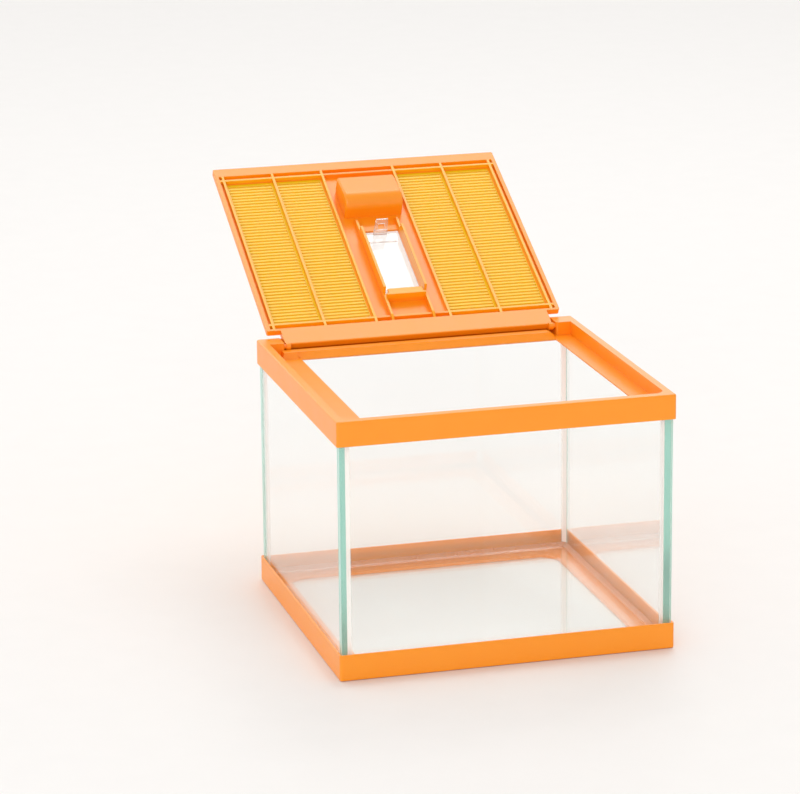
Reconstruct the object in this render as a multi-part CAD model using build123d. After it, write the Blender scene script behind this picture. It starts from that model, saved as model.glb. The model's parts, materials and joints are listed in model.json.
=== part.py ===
from build123d import *
import os

# A small glass terrarium: a glass tank held in a moulded base frame and a moulded top rim,
# with a vented lid that folds back on a hinge and a clear feeding window that swings in the lid.
# Millimetres, +Z up, the front towards -Y. The origin is the centre of the footprint on the
# underside of the base. The lid is drawn closed and then folded back to its stop.

# Tank
tank_width = 200.0
tank_depth = 195.0
tank_height = 152.4
glass = 4.0
frame_wall = 1.3
bond_gap = 0.3
corner_radius = 1.6

# Base frame
base_height = 15.4
base_lip = 16.5
base_lip_thickness = 2.0
base_lip_corner = 12.0
foot_radius = 0.8
skirt_edge_radius = 0.45

# Silicone seams
corner_film = 0.4
corner_bead = 3.0
bead_hollow = 0.38
floor_film = 0.5
floor_bead = 2.5
floor_bead_edge = 0.2
base_bond_foot = 4.0
base_bond_head = 3.0
rim_bond_margin = 1.2

# Top rim
rim_height = 14.6
rim_edge_radius = 1.0
side_flange = 5.0
front_flange = 5.5
back_flange = 14.7
well_depth = 8.0
well_corner = 6.0
ledge_thickness = 1.0
ledge_left = 22.0
ledge_right = 17.0
ledge_front = 19.5
ledge_corner = 0.8
hinge_lip_back = 21.3
hinge_lip_below_lid = 0.8
hinge_lip_wall = 1.4
hinge_lip_left_end = 12.0
hinge_lip_end_radius = 4.2
trough_wall = 1.5
block_corner = 1.2
support_pad = (14.0, 12.0)
brace_top_width = 7.0
brace_foot_width = 10.6
brace_reach = 2.0
brace_inset = 0.3

# Lid hinge
open_angle = 153.8
pivot_from_back = 12.0
pivot_below_top = 2.75
hinge_pin_radius = 1.5
hinge_pin_length = 4.4
hinge_fit = 0.07
hinge_pin_end_gap = 0.5
hinge_ear_radius = 2.3
hinge_ear_width = 2.8
stop_gap = 0.05

# Lid
lid_thickness = 4.0
lid_underside_below_pivot = 0.65
lid_rest_gap = 0.3
lid_side_gap = 2.0
lid_front_gap = 1.7
lid_corner = 1.2
lid_edge_radius = 0.8
tongue_length = 14.5
tongue_inset = 8.5
tongue_gap = 1.3
tongue_end_gap = 1.5
tongue_end_radius = 0.6
plate_thickness = 1.4
side_border = 2.4
front_border = 7.7
rear_border = 1.8

# Lid ribs and vents
rib_width = 1.6
edge_rib_inset = 4.9
centre_rib = 23.65
rear_cross_rib = 5.8
front_cross_rib = 11.9
slat_pitch = 2.92
slot_width = 1.2
slot_margin = 1.2
vent_margin = 1.5

# Finger recess
recess_width = 37.5
recess_length = 27.0
recess_from_front = 28.0
recess_rear_depth = 12.8
recess_front_depth = 8.9
recess_wall = 1.5
recess_round = 8.0
recess_edge_radius = 1.4

# Feeding window and its frame in the lid
window_half_width = 12.3
window_gap = 0.3
window_to_recess = 12.8
window_back = 23.4
window_pivot_from_back = 4.6
window_pivot_depth = 3.0
window_pin_radius = 1.25
window_fit = 0.07
window_pin_length = 1.3
window_pin_end_gap = 0.1
window_barrel_radius = 2.2
rail_width = 1.6
tall_rail_height = 8.6
low_rail_height = 4.1
tall_rail_back = 2.4
tall_rail_front = 4.7
low_rail_to_recess = 2.8
tall_rail_back_slope = 0.8
tall_rail_front_slope = 1.5
hood_reach_side_gap = 1.3
hood_wall = 1.5
hood_height = 6.3
hood_reach = 4.0
catch_ledge = 3.4
catch_ledge_thickness = 1.2
catch_wall = 1.5
catch_gap = 0.3
tab_setback = 4.6
tab_width = 9.0
tab_head_width = 7.4
tab_height = 12.2
tab_thickness = 1.2
tab_window = (4.4, 5.2)
tab_window_below_nib = 0.4
nib_width = 8.2
nib_height = 1.2
grip_rib_back = 13.0
grip_rib = 0.6
grip_rib_inset = 3.0

# How far the forms of one moulding run into each other before they are joined
overlap = 0.2

# Worked-out sizes of the tank
half_width = tank_width / 2
half_depth = tank_depth / 2
skirt_x = half_width - frame_wall
skirt_y = half_depth - frame_wall
glass_x = skirt_x - bond_gap
glass_y = skirt_y - bond_gap
inner_x = glass_x - glass
inner_y = glass_y - glass
rim_bottom = tank_height - rim_height
ledge_top = tank_height - well_depth
pane_top = ledge_top - ledge_thickness
floor_top = base_lip_thickness + glass
floor_bead_top = floor_top + floor_bead

# Worked-out sizes of the hinge and the lid, closed
pivot_y = half_depth - pivot_from_back
pivot_z = tank_height - pivot_below_top
lid_underside = pivot_z - lid_underside_below_pivot
lid_top = lid_underside + lid_thickness
support_top = lid_underside - lid_rest_gap
hinge_lip_top = lid_underside - hinge_lip_below_lid
hinge_lip_left = -half_width + hinge_lip_left_end
lid_half_width = half_width - side_flange - lid_side_gap
lid_front_y = -half_depth + front_flange + lid_front_gap
lid_back_y = pivot_y - tongue_length
tongue_half_width = lid_half_width - tongue_inset
trough_half_width = tongue_half_width + tongue_gap
plate_underside = lid_top - plate_thickness
edge_rib = lid_half_width - edge_rib_inset
middle_rib = (edge_rib + centre_rib) / 2
rear_rib_y = lid_back_y - rear_cross_rib
front_rib_y = lid_front_y + front_cross_rib
rib_height = lid_thickness - plate_thickness

# Worked-out places along the lid, closed
recess_front_y = lid_front_y + recess_from_front
recess_back_y = recess_front_y + recess_length
window_front_y = recess_back_y + window_to_recess
window_back_y = lid_back_y - window_back
window_pivot_y = window_back_y - window_pivot_from_back
window_pivot_z = lid_top - window_pivot_depth


def span(x0, x1, y0, y1, z0, z1):
    """A box from its limits."""
    centre = Pos((x0 + x1) / 2, (y0 + y1) / 2, (z0 + z1) / 2)
    return centre * Box(x1 - x0, y1 - y0, z1 - z0)


def ring(x_out, y_out, x_in, y_in, z0, z1):
    """A rectangular ring round the tank's centre."""
    return span(-x_out, x_out, -y_out, y_out, z0, z1) - span(-x_in, x_in, -y_in, y_in, z0, z1)


def rod(radius, x0, x1, y, z):
    """A cylinder along X."""
    return Pos((x0 + x1) / 2, y, z) * Rot(0, 90, 0) * Cylinder(radius, abs(x1 - x0))


def profile_along_x(points, x0, x1):
    """A straight bar along X with its outline given as Y, Z points."""
    outline = Polyline(*[(0, y, z) for y, z in points], close=True)
    return Pos(x0, 0, 0) * extrude(make_face(outline), amount=x1 - x0, dir=(1, 0, 0))


def upright(solid):
    return solid.edges().filter_by(Axis.Z)


def make_base_frame():
    """Open tray under the glass: a skirt round the panes and a flat lip below the floor."""
    frame = span(-half_width, half_width, -half_depth, half_depth, 0, base_height)
    frame = fillet(upright(frame), corner_radius)
    frame = fillet(frame.edges().group_by(Axis.Z)[0], foot_radius)
    frame -= span(-skirt_x, skirt_x, -skirt_y, skirt_y, base_lip_thickness, base_height)
    hole_x = half_width - base_lip
    hole_y = half_depth - base_lip
    hole = span(-hole_x, hole_x, -hole_y, hole_y, 0, base_lip_thickness)
    frame -= fillet(upright(hole), base_lip_corner)
    return fillet(frame.edges().group_by(Axis.Z)[-1], skirt_edge_radius)


def make_floor_pane():
    x = inner_x - floor_film
    y = inner_y - floor_film
    return span(-x, x, -y, y, base_lip_thickness, floor_top)


def make_end_pane(side):
    """Front (-1) or back (1) pane, across the full width."""
    y0, y1 = sorted((side * inner_y, side * glass_y))
    return span(-glass_x, glass_x, y0, y1, base_lip_thickness, pane_top)


def make_side_pane(side):
    """Left (-1) or right (1) pane, between the front and back panes."""
    x0, x1 = sorted((side * inner_x, side * glass_x))
    y = inner_y - corner_film
    return span(x0, x1, -y, y, base_lip_thickness, pane_top)


def make_corner_seam(side_x, side_y):
    """Silicone in a glass corner: a film behind the side pane's edge and a hollow bead inside."""
    film_x = sorted((side_x * inner_x, side_x * glass_x))
    film_y = sorted((side_y * (inner_y - corner_film), side_y * inner_y))
    film = span(*film_x, *film_y, base_lip_thickness, pane_top)
    corner = (side_x * inner_x, side_y * inner_y)
    along_end = (side_x * (inner_x - corner_bead), side_y * inner_y)
    along_side = (side_x * inner_x, side_y * (inner_y - corner_bead))
    dip = corner_bead * bead_hollow
    middle = (side_x * (inner_x - dip), side_y * (inner_y - dip))
    edge = Line(corner, along_end) + ThreePointArc(along_end, middle, along_side)
    edge += Line(along_side, corner)
    height = pane_top - floor_bead_top
    bead = Pos(0, 0, floor_bead_top) * extrude(make_face(edge), amount=height, dir=(0, 0, 1))
    return film + bead


def make_floor_seam():
    """Silicone round the floor: a film at its edge and a sloped bead on top."""
    film = ring(inner_x, inner_y, inner_x - floor_film, inner_y - floor_film, base_lip_thickness, floor_top)
    bead = ring(inner_x, inner_y, inner_x - floor_bead, inner_y - floor_bead, floor_top, floor_bead_top)
    inner_top = [
        e for e in bead.edges().group_by(Axis.Z)[-1]
        if abs(e.center().X) < inner_x - overlap and abs(e.center().Y) < inner_y - overlap
    ]
    return film + chamfer(inner_top, floor_bead - floor_bead_edge)


def make_bond(z0, z1):
    """Silicone between the panes and a frame's skirt."""
    return ring(skirt_x, skirt_y, glass_x, glass_y, z0, z1)


def make_hinge_lip():
    """Raised shelf along the back of the opening, in front of the hinge trough and open behind."""
    right = half_width - ledge_right
    front = half_depth - hinge_lip_back
    back = half_depth - back_flange + overlap
    lip = span(hinge_lip_left, right, front, back, pane_top, hinge_lip_top)
    right_end = lip.edges().filter_by(Axis.Y).group_by(Axis.Z)[-1].sort_by(Axis.X)[-1]
    lip = fillet(right_end, hinge_lip_end_radius)
    hollow_top = hinge_lip_top - hinge_lip_wall
    return lip - span(-trough_half_width, right, front + hinge_lip_wall, back, ledge_top, hollow_top)


def make_brace():
    """Sloped brace in front of the hinge lip at its left end."""
    middle = hinge_lip_left + brace_inset + brace_top_width / 2
    front = half_depth - hinge_lip_back
    foot = Plane(origin=(middle, front, ledge_top), x_dir=(1, 0, 0), z_dir=(0, 0, 1))
    crest = foot.offset(hinge_lip_top - ledge_top)
    foot_outline = foot * Pos(0, -brace_reach / 2) * Rectangle(brace_foot_width, brace_reach + 2 * overlap)
    crest_outline = crest * Rectangle(brace_top_width, 2 * overlap)
    return loft([foot_outline.face(), crest_outline.face()])


def lid_space():
    """The space that the folded-back lid needs over the rear wall of the hinge trough."""
    swept = span(
        -trough_half_width, trough_half_width,
        lid_back_y, pivot_y - hinge_ear_radius,
        lid_underside, lid_top + stop_gap,
    )
    return fold_back(swept)


def make_rim_frame():
    """Top rim: a socket over the glass, a ledge inside, and the hinge trough along the back."""
    rim = span(-half_width, half_width, -half_depth, half_depth, rim_bottom, tank_height)
    rim = fillet(upright(rim), corner_radius)
    rim = fillet(rim.edges().group_by(Axis.Z)[-1], rim_edge_radius)
    rim -= span(-skirt_x, skirt_x, -skirt_y, skirt_y, rim_bottom, pane_top)
    opening = span(
        -half_width + ledge_left, half_width - ledge_right,
        -half_depth + ledge_front, half_depth - hinge_lip_back,
        pane_top, tank_height,
    )
    rim -= fillet(upright(opening), ledge_corner)
    well_x = half_width - side_flange
    well_front = -half_depth + front_flange
    well_back = half_depth - back_flange
    well = span(-well_x, well_x, well_front, well_back, ledge_top, tank_height)
    rim -= fillet(upright(well).sort_by(Axis.Y)[:2], well_corner)
    rim -= span(
        -trough_half_width, trough_half_width,
        well_back - trough_wall, half_depth - trough_wall,
        ledge_top, tank_height,
    )
    rim -= lid_space()
    inner_corners = [
        e for e in upright(rim)
        if abs(abs(e.center().X) - trough_half_width) < overlap and abs(e.center().Y - well_back) < overlap
    ]
    rim = fillet(inner_corners, block_corner)
    pad_x, pad_y = support_pad
    for side in (-1, 1):
        x0, x1 = sorted((side * (well_x - pad_x), side * well_x))
        rim += span(x0, x1, well_front, well_front + pad_y, ledge_top, support_top)
        bore_end = side * (tongue_half_width + hinge_pin_length + hinge_pin_end_gap)
        rim -= rod(hinge_pin_radius + hinge_fit, side * trough_half_width, bore_end, pivot_y, pivot_z)
    return rim + make_hinge_lip() + make_brace()


def fold_back(solid):
    """Turns the closed lid's pieces about the hinge to the open stop."""
    return solid.rotate(Axis((0, pivot_y, pivot_z), (1, 0, 0)), -open_angle)


def make_lid_slab():
    """The lid's panel with its rounded corners and the narrower hinge tongue behind."""
    slab = span(-lid_half_width, lid_half_width, lid_front_y, lid_back_y, lid_underside, lid_top)
    slab = fillet(upright(slab), lid_corner)
    end = pivot_y - tongue_end_gap
    tongue = span(-tongue_half_width, tongue_half_width, lid_back_y - lid_corner, end, lid_underside, lid_top)
    slab += fillet(tongue.edges().filter_by(Axis.X).group_by(Axis.Y)[-1], tongue_end_radius)
    panel_edges = [
        e for e in slab.edges().group_by(Axis.Z)[-1]
        if e.center().Y < lid_back_y + overlap
    ]
    slab = fillet(panel_edges, lid_edge_radius)
    for side in (-1, 1):
        outer = side * tongue_half_width
        inner = side * (tongue_half_width - hinge_ear_width)
        slab += rod(hinge_ear_radius, inner, outer, pivot_y, pivot_z)
        ear_top = pivot_z + hinge_ear_radius
        slab += span(*sorted((inner, outer)), end - tongue_end_radius, pivot_y, lid_underside, ear_top)
        slab += rod(hinge_pin_radius, outer, outer + side * hinge_pin_length, pivot_y, pivot_z)
    return slab


def hollow_underside(lid):
    """Cuts the underside down to the thin plate and leaves the ribs standing."""
    x = lid_half_width - side_border
    y0 = lid_front_y + front_border
    y1 = lid_back_y - rear_border
    hollow = span(-x, x, y0, y1, lid_underside, plate_underside)
    for centre in (edge_rib, middle_rib, centre_rib):
        for side in (-1, 1):
            place = Pos(side * centre, (y0 + y1) / 2, plate_underside - rib_height / 2)
            hollow -= place * Box(rib_width, y1 - y0, rib_height)
    for centre in (rear_rib_y, front_rib_y):
        place = Pos(0, centre, plate_underside - rib_height / 2)
        hollow -= place * Box(2 * x, rib_width, rib_height)
    return lid - hollow


def vent_slots():
    """Rows of narrow slots between the ribs, two bays on each side of the centre panel."""
    y_low = front_rib_y + rib_width / 2 + vent_margin
    y_high = rear_rib_y - rib_width / 2 - vent_margin
    count = int((y_high - y_low) / slat_pitch)
    plate_middle = lid_top - plate_thickness / 2
    slots = []
    for outer, inner in ((edge_rib, middle_rib), (middle_rib, centre_rib)):
        length = outer - inner - rib_width - 2 * slot_margin
        slot = Box(length, slot_width, plate_thickness + 2 * overlap)
        for side in (-1, 1):
            middle = Pos(side * (outer + inner) / 2, (y_low + y_high) / 2, plate_middle)
            slots += [middle * place * slot for place in GridLocations(0, slat_pitch, 1, count)]
    return slots


def recess_block(wall):
    """The finger recess's outer form, or its hollow when a wall is taken off."""
    x = recess_width / 2 - wall
    front = recess_front_y + wall
    back = recess_back_y - wall
    top = lid_top + overlap if wall else plate_underside + overlap
    rear_z = lid_underside - recess_rear_depth + wall
    front_z = lid_underside - recess_front_depth + wall
    block = profile_along_x([(back, top), (back, rear_z), (front, front_z), (front, top)], -x, x)
    lowest = block.edges().filter_by(Axis.X).group_by(Axis.Z)[0]
    return fillet(lowest, recess_round - wall)


def soften_recess(block):
    """Small radii round the recess's two end faces."""
    x = recess_width / 2
    edges = [
        e for e in block.edges()
        if abs(e.center().X) > x - overlap and e.center().Z < plate_underside
    ]
    return fillet(edges, recess_edge_radius)


def window_rails():
    """Low rails along the centre panel, tall beside the window, with the hinge hood between."""
    rails = []
    y_back = lid_back_y - rear_border
    low_front = recess_back_y + low_rail_to_recess
    tall_back = window_back_y - tall_rail_back
    tall_front = window_front_y + tall_rail_front
    top = plate_underside + overlap
    low = plate_underside - low_rail_height
    tall = plate_underside - tall_rail_height
    low_outline = [
        (y_back, top), (y_back, lid_underside), (y_back - low_rail_height, low),
        (low_front + low_rail_height, low), (low_front, top),
    ]
    tall_outline = [
        (tall_back, top), (tall_back - tall_rail_back_slope, tall),
        (tall_front + tall_rail_front_slope, tall), (tall_front, top),
    ]
    for side in (-1, 1):
        x0, x1 = sorted((side * window_half_width, side * (window_half_width + rail_width)))
        rails.append(profile_along_x(low_outline, x0, x1))
        rails.append(profile_along_x(tall_outline, x0, x1))
    return rails


def hinge_hood():
    """Moulded cover under the window's hinge gap: a wall between the rails and a floor forward."""
    x = window_half_width + overlap
    reach_x = window_half_width - hood_reach_side_gap
    low = plate_underside - hood_height
    wall_y = window_back_y + hood_wall
    wall = span(-x, x, window_back_y, wall_y, low, plate_underside + overlap)
    return wall + span(-reach_x, reach_x, window_back_y - hood_reach, wall_y, low, low + hood_wall)


def catch():
    """Ledge under the window's free end that the snap tab holds on to."""
    x = window_half_width + overlap
    wall_y = window_front_y - catch_wall
    top = plate_underside - catch_gap
    low = top - catch_ledge_thickness
    ledge = span(-x, x, wall_y, window_front_y + catch_ledge, low, top)
    return ledge + span(-x, x, wall_y, window_front_y, low, plate_underside + overlap)


def make_lid_frame():
    """The lid moulding: panel, tongue, ribs, vents, finger recess and window frame."""
    lid = hollow_underside(make_lid_slab())
    for rail in window_rails():
        lid += rail
    lid += soften_recess(recess_block(0))
    lid -= recess_block(recess_wall)
    x = window_half_width
    lid -= span(-x, x, window_front_y, window_back_y, plate_underside, lid_top)
    lid += hinge_hood()
    lid += catch()
    bore = window_pin_radius + window_fit
    bore_end = x - window_gap + window_pin_length + window_pin_end_gap
    for side in (-1, 1):
        lid -= rod(bore, side * x, side * bore_end, window_pivot_y, window_pivot_z)
    return lid - vent_slots()


def make_feed_window():
    """Clear feeding window: a flap with a hinge roll, stub pins and a snap tab underneath."""
    x = window_half_width - window_gap
    front = window_front_y + window_gap
    flap = span(-x, x, front, window_pivot_y, plate_underside, lid_top)
    flap += rod(window_barrel_radius, -x, x, window_pivot_y, window_pivot_z)
    for side in (-1, 1):
        pin_end = side * (x + window_pin_length)
        flap += rod(window_pin_radius, side * x, pin_end, window_pivot_y, window_pivot_z)
    flap += snap_tab()
    rib_x = x - grip_rib_inset
    rib_y = window_front_y + grip_rib_back
    rib_z = plate_underside - grip_rib
    return flap + span(-rib_x, rib_x, rib_y, rib_y + grip_rib, rib_z, plate_underside)


def snap_tab():
    """Upright U-shaped tab, a little narrower at its free end, with a nib under the catch."""
    front = window_front_y + tab_setback
    low = plate_underside - tab_height
    high = plate_underside + overlap
    outline = Polyline(
        (-tab_width / 2, front, high), (tab_width / 2, front, high),
        (tab_head_width / 2, front, low), (-tab_head_width / 2, front, low), close=True,
    )
    tab = extrude(make_face(outline), amount=tab_thickness, dir=(0, 1, 0))
    nib_front = window_front_y + catch_ledge + catch_gap
    nib_top = plate_underside - catch_ledge_thickness - 2 * catch_gap
    nib_low = nib_top - nib_height
    tab += span(-nib_width / 2, nib_width / 2, nib_front, front + overlap, nib_low, nib_top)
    hole_x, hole_z = tab_window
    hole_top = nib_low - tab_window_below_nib
    return tab - span(-hole_x / 2, hole_x / 2, front, front + tab_thickness, hole_top - hole_z, hole_top)


def build():
    """Every separate piece of the terrarium, by name."""
    nodes = {
        "base_frame": make_base_frame(),
        "floor_pane": make_floor_pane(),
        "front_pane": make_end_pane(-1),
        "back_pane": make_end_pane(1),
        "left_pane": make_side_pane(-1),
        "right_pane": make_side_pane(1),
        "floor_seam": make_floor_seam(),
        "base_bond": make_bond(base_bond_foot, base_height - base_bond_head),
        "rim_bond": make_bond(rim_bottom + rim_bond_margin, pane_top - rim_bond_margin),
        "rim_frame": make_rim_frame(),
        "lid_frame": fold_back(make_lid_frame()),
        "feed_window": fold_back(make_feed_window()),
    }
    for name_x, side_x in (("left", -1), ("right", 1)):
        for name_y, side_y in (("front", -1), ("back", 1)):
            nodes[f"seam_{name_y}_{name_x}"] = make_corner_seam(side_x, side_y)
    return nodes


os.makedirs("parts", exist_ok=True)
for name, solid in build().items():
    export_step(solid, f"parts/{name}.step")
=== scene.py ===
import json
import math

import bpy
from mathutils import Matrix, Vector

# The glass terrarium of the frame, dressed and lit as in its photograph: orange moulded
# plastic, clear sheet glass, silicone seams and a clear feeding window. Blender's own lengths
# are metres. Places and sizes on a piece are written in millimetres.
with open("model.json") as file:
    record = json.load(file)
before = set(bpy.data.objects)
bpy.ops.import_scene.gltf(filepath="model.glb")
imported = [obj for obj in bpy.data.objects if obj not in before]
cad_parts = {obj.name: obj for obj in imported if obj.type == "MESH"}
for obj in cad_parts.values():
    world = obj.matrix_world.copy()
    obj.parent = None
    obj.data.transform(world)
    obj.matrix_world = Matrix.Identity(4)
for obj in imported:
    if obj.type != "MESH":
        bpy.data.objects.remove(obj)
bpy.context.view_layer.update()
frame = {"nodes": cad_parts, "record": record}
nodes = frame["nodes"]
millimetre = 0.001


def linear(hex_colour):
    """An sRGB hex colour as the linear colour that Blender's sockets take."""
    parts = [int(hex_colour[i:i + 2], 16) / 255 for i in (1, 3, 5)]
    return [p / 12.92 if p <= 0.04045 else ((p + 0.055) / 1.055) ** 2.4 for p in parts] + [1.0]


def add(tree, kind, settings=None, **links):
    """Adds one node. settings are its own values, and links feed or fill its sockets.

    A socket goes by its name, with _ for a space, or by its number, such as _0.
    """
    node = tree.nodes.new(kind)
    for name, value in (settings or {}).items():
        setattr(node, name, value)
    for name, value in links.items():
        key = int(name[1:]) if name[1:].isdigit() else name.replace("_", " ")
        socket = node.inputs[key]
        if isinstance(value, bpy.types.NodeSocket):
            tree.links.new(value, socket)
        else:
            socket.default_value = value
    return node


def new_material(name):
    """An empty node material, its tree and its output."""
    material = bpy.data.materials.new(name)
    material.use_nodes = True
    material.node_tree.nodes.clear()
    return material, material.node_tree, material.node_tree.nodes.new("ShaderNodeOutputMaterial")


def pattern_scale(size):
    """The scale of a noise whose patches have a size in millimetres."""
    return 1 / (size * millimetre)


def axis_value(tree, place, axis):
    """The size of one coordinate, in metres, without its sign."""
    parts = add(tree, "ShaderNodeSeparateXYZ", Vector=place)
    return add(tree, "ShaderNodeMath", {"operation": "ABSOLUTE"}, _0=parts.outputs[axis]).outputs["Value"]


def along(tree, place, direction, start):
    """How far a point lies along a direction, in metres from the start."""
    product = add(tree, "ShaderNodeVectorMath", {"operation": "DOT_PRODUCT"}, _0=place, _1=direction)
    return add(tree, "ShaderNodeMath", {"operation": "SUBTRACT"}, _0=product.outputs["Value"],
               _1=start).outputs["Value"]


def ramp(tree, value, low, high, at_low=0.0, at_high=1.0):
    """A length carried from one range, in millimetres, to another range."""
    return add(tree, "ShaderNodeMapRange", Value=value, From_Min=low * millimetre,
               From_Max=high * millimetre, To_Min=at_low, To_Max=at_high).outputs["Result"]


def combine(tree, operation, first, second):
    """Two shares made into one that stays between 0 and 1."""
    return add(tree, "ShaderNodeMath", {"operation": operation, "use_clamp": True},
               _0=first, _1=second).outputs["Value"]


def between(tree, value, limits, edge):
    """1 between two limits and 0 outside them. It rises and falls over an edge inside the limits."""
    low, high = limits
    return combine(tree, "MULTIPLY", ramp(tree, value, low, low + edge), ramp(tree, value, high, high - edge))


def reach(name, axis):
    """Where a piece begins and ends, in millimetres from the tank's middle to either side."""
    distances = [abs(vertex.co["XYZ".index(axis)]) / millimetre for vertex in nodes[name].data.vertices]
    return min(distances), max(distances)


# The lid as it lies in the frame: folded back, its underside towards the front and up
lid_hinge = next(joint for joint in frame["record"]["behaviour"]["joints"] if joint["name"] == "lid_hinge")
hinge_place = Vector(lid_hinge["pos_m"])
lid_slope = math.pi - math.radians(lid_hinge["range_deg"][1])
lid_forward = Vector((0, math.cos(lid_slope), math.sin(lid_slope)))
lid_down = Vector((0, -math.sin(lid_slope), math.cos(lid_slope)))

# Places on the lid in millimetres: forward from its hinge, across from its middle, and down
# from the plane of its rib tips
rib_tips_below_hinge = 0.65
plate_below_tips = -2.6
plate_forward = (16.0, 168.2)
bays_across = (22.7, 90.7)
slots_forward = (22.6, 162.4)
slots_across = (24.8, 87.0)
rails_across = 14.6
rails_forward = 112.0

# How far each thin wall's colour turns to amber, a painted glow for daylight coming through,
# where the face of a slat turns fully. The slot walls turn less, which paints them in shade.
# The ribs and the window rails take a little of the painted glow.
slot_wall_glow_in_shade = 0.75
rib_painted_glow = 0.3
rail_painted_glow = 0.2


def painted_glow_of_thin_walls(tree, place):
    """How far the lid's colour turns to amber, a painted glow, and where it glows: both are full in its
    slats.

    The walls of the slots glow a little less, and their colour turns less, which is painted shade. The ribs
    and the window rails take a little of the painted glow but don't glow.
    """
    rib_tips = hinge_place.dot(lid_down) + rib_tips_below_hinge * millimetre
    across = axis_value(tree, place, "X")
    forward = along(tree, place, lid_forward, hinge_place.dot(lid_forward))
    depth = along(tree, place, lid_down, rib_tips)
    plate = between(tree, forward, plate_forward, 0.2)
    bays = combine(tree, "MULTIPLY", between(tree, across, bays_across, 0.2), plate)
    slotted = combine(tree, "MULTIPLY", between(tree, forward, slots_forward, 0.8),
                      between(tree, across, slots_across, 0.8))
    above_ribs = ramp(tree, depth, plate_below_tips + 0.4, plate_below_tips + 0.1)
    # Painted shade: the slot walls turn less to amber than the slat faces, so they read darker
    slot_wall_shade = ramp(tree, depth, plate_below_tips - 0.3, plate_below_tips - 0.05, slot_wall_glow_in_shade, 1.0)
    slats = combine(tree, "MULTIPLY", slotted, combine(tree, "MULTIPLY", above_ribs, slot_wall_shade))
    rib_sides = ramp(tree, depth, plate_below_tips + 0.1, plate_below_tips + 0.4, 0.0, rib_painted_glow)
    ribs = combine(tree, "MULTIPLY", rib_sides, ramp(tree, depth, 0.2, 0.1))
    rail_place = combine(tree, "MULTIPLY", ramp(tree, across, rails_across, rails_across - 0.6),
                         ramp(tree, forward, rails_forward, rails_forward - 1.0))
    rails = combine(tree, "MULTIPLY", rail_place, ramp(tree, depth, -0.5, 0.5, 0.0, rail_painted_glow))
    painted_glow = combine(tree, "ADD", slats, combine(tree, "MULTIPLY", bays, ribs))
    return combine(tree, "ADD", painted_glow, combine(tree, "MULTIPLY", plate, rails)), slats


def moulded_styrene(name, thin=False):
    """Opaque orange polystyrene out of a polished tool: satin, evenly coloured, with softened edges.

    A thin wall lets daylight through, and there its colour is painted amber, a painted glow.
    """
    material, tree, output = new_material(name)
    place = add(tree, "ShaderNodeTexCoord").outputs["Object"]
    # Flow marks of the melt, 12 mm long: the tone wanders by one step of brightness
    flow = add(tree, "ShaderNodeTexNoise", Vector=place, Scale=pattern_scale(12), Detail=3.0)
    tone = add(tree, "ShaderNodeMixRGB", Fac=flow.outputs["Fac"],
               Color1=linear("#FF9408"), Color2=linear("#FF9910"))
    colour = tone.outputs["Color"]
    # Sink of the moulding, 40 mm across, which bends the reflections of the room a little
    sink = add(tree, "ShaderNodeTexNoise", Vector=place, Scale=pattern_scale(40), Detail=1.0)
    rounded = add(tree, "ShaderNodeBevel", {"samples": 4}, Radius=0.35 * millimetre)
    wavy = add(tree, "ShaderNodeBump", Strength=0.25, Distance=0.15 * millimetre,
               Height=sink.outputs["Fac"], Normal=rounded.outputs["Normal"])
    # The tool's satin grain, drawn at 0.5 mm, coarser than the real one so that it shows
    grain = add(tree, "ShaderNodeTexNoise", Vector=place, Scale=pattern_scale(0.5), Detail=2.0)
    skin = add(tree, "ShaderNodeBump", Strength=0.05, Distance=0.2 * millimetre,
               Height=grain.outputs["Fac"], Normal=wavy.outputs["Normal"])
    gloss = add(tree, "ShaderNodeMapRange", Value=flow.outputs["Fac"], To_Min=0.27, To_Max=0.36)
    if thin:
        # Painted glow: amber mixed into the colour where daylight comes through the thin walls
        painted_glow, glowing = painted_glow_of_thin_walls(tree, place)
        amber = add(tree, "ShaderNodeMixRGB", Fac=painted_glow, Color1=colour, Color2=linear("#FFDC04"))
        colour = amber.outputs["Color"]
    body = add(tree, "ShaderNodeBsdfPrincipled", Base_Color=colour,
               Roughness=gloss.outputs["Result"], IOR=1.55, Normal=skin.outputs["Normal"])
    surface = body.outputs["BSDF"]
    if thin:
        # Daylight from behind, which a slat of 1.4 mm passes on
        glow = add(tree, "ShaderNodeBsdfTranslucent", Color=colour)
        passed_on = combine(tree, "MULTIPLY", glowing, 0.3)
        surface = add(tree, "ShaderNodeMixShader", _0=passed_on, _1=surface,
                      _2=glow.outputs["BSDF"]).outputs["Shader"]
    tree.links.new(surface, output.inputs["Surface"])
    return material


def let_light_through(tree, surface, film_colour):
    """A clear surface that is a plain film to daylight, to the lamps, and to light caught in it.

    Light counts as caught once it has been mirrored or bent three times.
    """
    film = add(tree, "ShaderNodeBsdfTransparent", Color=linear(film_colour))
    ray = add(tree, "ShaderNodeLightPath")
    caught = add(tree, "ShaderNodeMath", {"operation": "GREATER_THAN"}, _0=ray.outputs["Glossy Depth"],
                 _1=2.5)
    for share in (caught.outputs["Value"], ray.outputs["Is Diffuse Ray"], ray.outputs["Is Shadow Ray"]):
        surface = add(tree, "ShaderNodeMixShader", _0=share, _1=surface,
                      _2=film.outputs["BSDF"]).outputs["Shader"]
    return surface


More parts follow.
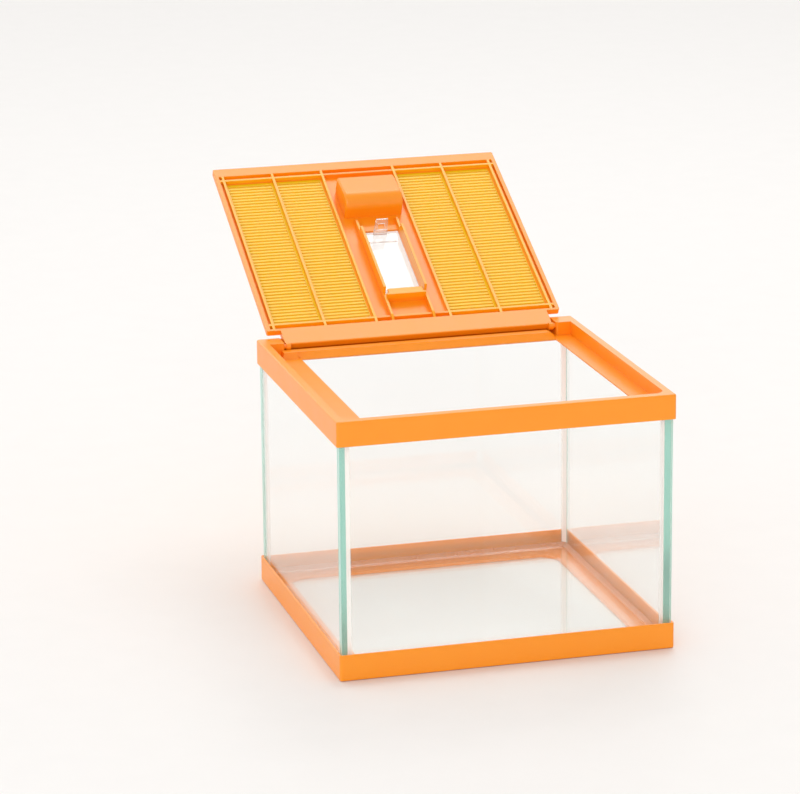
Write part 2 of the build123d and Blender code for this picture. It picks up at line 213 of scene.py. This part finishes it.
def float_glass(name, cut_axis=None, cut_from=0.0, cut_colour="#FFFFFF"):
    """Sheet of float glass with ground edges: clear through its faces, sea green at its cut ends.

    cut_from is where the cut ends begin along their axis, in millimetres from the tank's middle.
    """
    material, tree, output = new_material(name)
    place = add(tree, "ShaderNodeTexCoord").outputs["Object"]
    # A breath of haze in patches of 62.5 mm, as on a wiped pane
    haze = add(tree, "ShaderNodeTexNoise", Vector=place, Scale=pattern_scale(62.5), Detail=2.0)
    colour = add(tree, "ShaderNodeMixRGB", Fac=haze.outputs["Fac"],
                 Color1=linear("#FFFFFF"), Color2=linear("#FDFEFE")).outputs["Color"]
    shine = add(tree, "ShaderNodeMapRange", Value=haze.outputs["Fac"], To_Min=0.0, To_Max=0.03)
    gloss = shine.outputs["Result"]
    clearness = 1.0
    if cut_axis:
        cut = ramp(tree, axis_value(tree, place, cut_axis), cut_from, cut_from + 0.05)
        colour = add(tree, "ShaderNodeMixRGB", Fac=cut, Color1=colour,
                     Color2=linear(cut_colour)).outputs["Color"]
        gloss = combine(tree, "MAXIMUM", gloss, combine(tree, "MULTIPLY", cut, 0.35))
        # The grinding leaves the edge half matt, so it shows its green from every side
        clearness = add(tree, "ShaderNodeMapRange", Value=cut, To_Min=1.0, To_Max=0.5).outputs["Result"]
    glass = add(tree, "ShaderNodeBsdfPrincipled", Base_Color=colour, Roughness=gloss, IOR=1.52,
                Transmission_Weight=clearness)
    # The iron in the glass, which tints it green where light goes a long way through it
    tint = add(tree, "ShaderNodeVolumeAbsorption", Color=linear("#A8E0D0"), Density=4.0)
    tree.links.new(let_light_through(tree, glass.outputs["BSDF"], "#FFFFFE"), output.inputs["Surface"])
    tree.links.new(tint.outputs["Volume"], output.inputs["Volume"])
    return material


def silicone_sealant(name, bead_cover, film_cover, dark, light):
    """Clear silicone drawn off with a wet finger: a cloudy bead, and fainter as a film behind glass.

    The covers are how much of what lies behind it the bead hides, and the film.
    """
    material, tree, output = new_material(name)
    place = add(tree, "ShaderNodeTexCoord").outputs["Object"]
    # Drag marks of the finger, 6.25 mm apart
    cloud = add(tree, "ShaderNodeTexNoise", Vector=place, Scale=pattern_scale(6.25), Detail=3.0)
    tone = add(tree, "ShaderNodeMixRGB", Fac=cloud.outputs["Fac"], Color1=linear(dark), Color2=linear(light))
    lump = add(tree, "ShaderNodeBump", Strength=0.4, Distance=0.6 * millimetre, Height=cloud.outputs["Fac"])
    body = add(tree, "ShaderNodeBsdfPrincipled", Base_Color=tone.outputs["Color"], Roughness=0.3,
               IOR=1.41, Normal=lump.outputs["Normal"])
    clear = add(tree, "ShaderNodeBsdfTransparent", Color=linear("#FFFEFD"))
    inner_x = reach("right_pane", "X")[0]
    inner_y = reach("front_pane", "Y")[0]
    behind_side = ramp(tree, axis_value(tree, place, "X"), inner_x - 0.2, inner_x + 0.2)
    behind_end = ramp(tree, axis_value(tree, place, "Y"), inner_y - 0.3, inner_y - 0.1)
    behind_glass = combine(tree, "MAXIMUM", behind_side, behind_end)
    cover = add(tree, "ShaderNodeMapRange", Value=behind_glass, To_Min=bead_cover, To_Max=film_cover)
    soft = add(tree, "ShaderNodeMixShader", _0=cover.outputs["Result"], _1=clear.outputs["BSDF"],
               _2=body.outputs["BSDF"])
    tree.links.new(soft.outputs["Shader"], output.inputs["Surface"])
    return material


def clear_styrene():
    """Clear crystal polystyrene from the tool: glossy, slightly milky, with soft bright edges."""
    material, tree, output = new_material("clear_styrene")
    place = add(tree, "ShaderNodeTexCoord").outputs["Object"]
    # Flow haze, 10 mm long
    flow = add(tree, "ShaderNodeTexNoise", Vector=place, Scale=pattern_scale(10), Detail=2.0)
    tone = add(tree, "ShaderNodeMixRGB", Fac=flow.outputs["Fac"],
               Color1=linear("#FFFFFF"), Color2=linear("#F8F6F3"))
    rounded = add(tree, "ShaderNodeBevel", {"samples": 4}, Radius=0.3 * millimetre)
    gloss = add(tree, "ShaderNodeMapRange", Value=flow.outputs["Fac"], To_Min=0.08, To_Max=0.16)
    glass = add(tree, "ShaderNodeBsdfPrincipled", Base_Color=tone.outputs["Color"],
                Roughness=gloss.outputs["Result"], IOR=1.58, Transmission_Weight=0.88,
                Normal=rounded.outputs["Normal"])
    tree.links.new(let_light_through(tree, glass.outputs["BSDF"], "#F4F3F1"), output.inputs["Surface"])
    return material


def pale_table():
    """Matt pale table top with a barely visible mottle, 25 mm across."""
    material, tree, output = new_material("pale_table")
    place = add(tree, "ShaderNodeTexCoord").outputs["Object"]
    grain = add(tree, "ShaderNodeTexNoise", Vector=place, Scale=pattern_scale(25), Detail=4.0)
    tone = add(tree, "ShaderNodeMixRGB", Fac=grain.outputs["Fac"],
               Color1=linear("#ECE9E6"), Color2=linear("#EFECE9"))
    body = add(tree, "ShaderNodeBsdfPrincipled", Base_Color=tone.outputs["Color"], Roughness=0.6)
    tree.links.new(body.outputs["BSDF"], output.inputs["Surface"])
    return material


def dress(names, material):
    """Gives the pieces one material."""
    for name in names:
        nodes[name].data.materials.clear()
        nodes[name].data.materials.append(material)


# The green shows in the outer ends of the front and back panes, and deeper, through the
# corner seam, in the ends of the side panes
end_panes = ["front_pane", "back_pane"]
side_panes = ["left_pane", "right_pane"]
corner_seams = [name for name in nodes if name.startswith("seam")]
frame_seams = ["floor_seam", "base_bond", "rim_bond"]
end_cut = reach("front_pane", "X")[1] - 0.1
side_cut = reach("left_pane", "Y")[1] - 0.5
dress(["base_frame", "rim_frame"], moulded_styrene("orange_styrene"))
# The lid's colour carries a painted glow, amber where its walls are thin.
dress(["lid_frame"], moulded_styrene("orange_styrene_thin_wall_painted_glow", thin=True))
dress(["floor_pane"], float_glass("float_glass"))
dress(end_panes, float_glass("float_glass_cut_left_and_right", "X", end_cut, "#BFEADF"))
dress(side_panes, float_glass("float_glass_cut_front_and_back", "Y", side_cut, "#72C9B7"))
dress(["feed_window"], clear_styrene())
dress(corner_seams, silicone_sealant("silicone_bead", 0.85, 0.05, "#FFF6F3", "#FFFCFA"))
# The bedding's peach tone is painted: it stands in for orange light from the frame behind the clear silicone.
dress(frame_seams, silicone_sealant("silicone_bedding", 0.35, 0.02, "#FFAC84", "#FFCDB0"))

# Light passes the silicone without being counted as one more layer of the glass
for name in corner_seams + frame_seams:
    nodes[name].visible_shadow = False
    nodes[name].visible_diffuse = False

# A hair of clearance, so that touching clear faces don't lie in one plane
for name in end_panes + side_panes + corner_seams + frame_seams + ["floor_pane"]:
    clearance = nodes[name].modifiers.new("clearance", "DISPLACE")
    clearance.strength = -0.03 * millimetre
    clearance.mid_level = 0.0


def lay_table():
    """The table top, a hair under the tank's foot and wide enough to fill the picture."""
    half = 12.0
    mesh = bpy.data.meshes.new("table")
    mesh.from_pydata([(-half, -half, 0), (half, -half, 0), (half, half, 0), (-half, half, 0)], [],
                     [(0, 1, 2, 3)])
    mesh.materials.append(pale_table())
    table = bpy.data.objects.new("table", mesh)
    table.location.z = -0.2 * millimetre
    bpy.context.scene.collection.objects.link(table)
    return table


def soft_lamp(name, place, target, size, power):
    """A soft rectangular lamp aimed at a point.

    It lights and shines in gloss, but neither the camera nor the glass shows it.
    """
    data = bpy.data.lights.new(name, "AREA")
    data.shape = "RECTANGLE"
    data.size, data.size_y = size
    data.energy = power
    lamp = bpy.data.objects.new(name, data)
    lamp.location = place
    aim = Vector(target) - Vector(place)
    lamp.rotation_euler = aim.to_track_quat("-Z", "Y").to_euler()
    lamp.visible_camera = False
    lamp.visible_transmission = False
    bpy.context.scene.collection.objects.link(lamp)


def bright_room():
    """The room's daylight, brighter behind the tank. The camera and the glass see it white."""
    world = bpy.data.worlds.new("studio")
    world.use_nodes = True
    tree = world.node_tree
    tree.nodes.clear()
    direction = add(tree, "ShaderNodeTexCoord").outputs["Generated"]
    backwards = add(tree, "ShaderNodeSeparateXYZ", Vector=direction).outputs["Y"]
    level = add(tree, "ShaderNodeMapRange", Value=backwards, From_Min=-0.2, From_Max=1.0,
                To_Min=0.65, To_Max=1.65)
    ray = add(tree, "ShaderNodeLightPath")
    seen = add(tree, "ShaderNodeMath", {"operation": "MAXIMUM"}, _0=ray.outputs["Is Camera Ray"],
               _1=ray.outputs["Is Transmission Ray"])
    room = add(tree, "ShaderNodeBackground", Color=linear("#FFFFFF"), Strength=level.outputs["Result"])
    white = add(tree, "ShaderNodeBackground", Color=linear("#FFFFFF"), Strength=1.0)
    both = add(tree, "ShaderNodeMixShader", _0=seen.outputs["Value"], _1=room.outputs["Background"],
               _2=white.outputs["Background"])
    add(tree, "ShaderNodeOutputWorld", Surface=both.outputs["Shader"])
    return world


def photograph_camera():
    """The camera of the photograph, worked out from the edges of the tank in it."""
    photo_width = 800
    focal_pixels = 3590.7
    place = (-0.5702, -1.9567, 0.6914)
    yaw, pitch, roll = (math.radians(angle) for angle in (15.25, 15.30, 0.58))
    forward = Vector((math.sin(yaw) * math.cos(pitch), math.cos(yaw) * math.cos(pitch), -math.sin(pitch)))
    level = Vector((math.cos(yaw), -math.sin(yaw), 0))
    right = math.cos(roll) * level + math.sin(roll) * forward.cross(level)
    down = forward.cross(right)
    data = bpy.data.cameras.new("camera")
    data.sensor_width = 36.0
    data.lens = focal_pixels * data.sensor_width / photo_width
    data.clip_end = 40.0
    camera = bpy.data.objects.new("camera", data)
    turn = Matrix((right, -down, -forward)).transposed().to_4x4()
    camera.matrix_world = Matrix.Translation(place) @ turn
    bpy.context.scene.collection.objects.link(camera)
    return camera


lay_table()
soft_lamp("high_light", place=(0.52, 0.98, 1.97), target=(0, 0.2, 0.2), size=(0.9, 0.9), power=7)
soft_lamp("front_fill", place=(-1.9, -4.4, 1.9), target=(0, 0, 0.1), size=(4.0, 2.6), power=78)
bpy.context.scene.world = bright_room()
bpy.context.scene.camera = photograph_camera()
bpy.context.scene.view_settings.view_transform = "Standard"
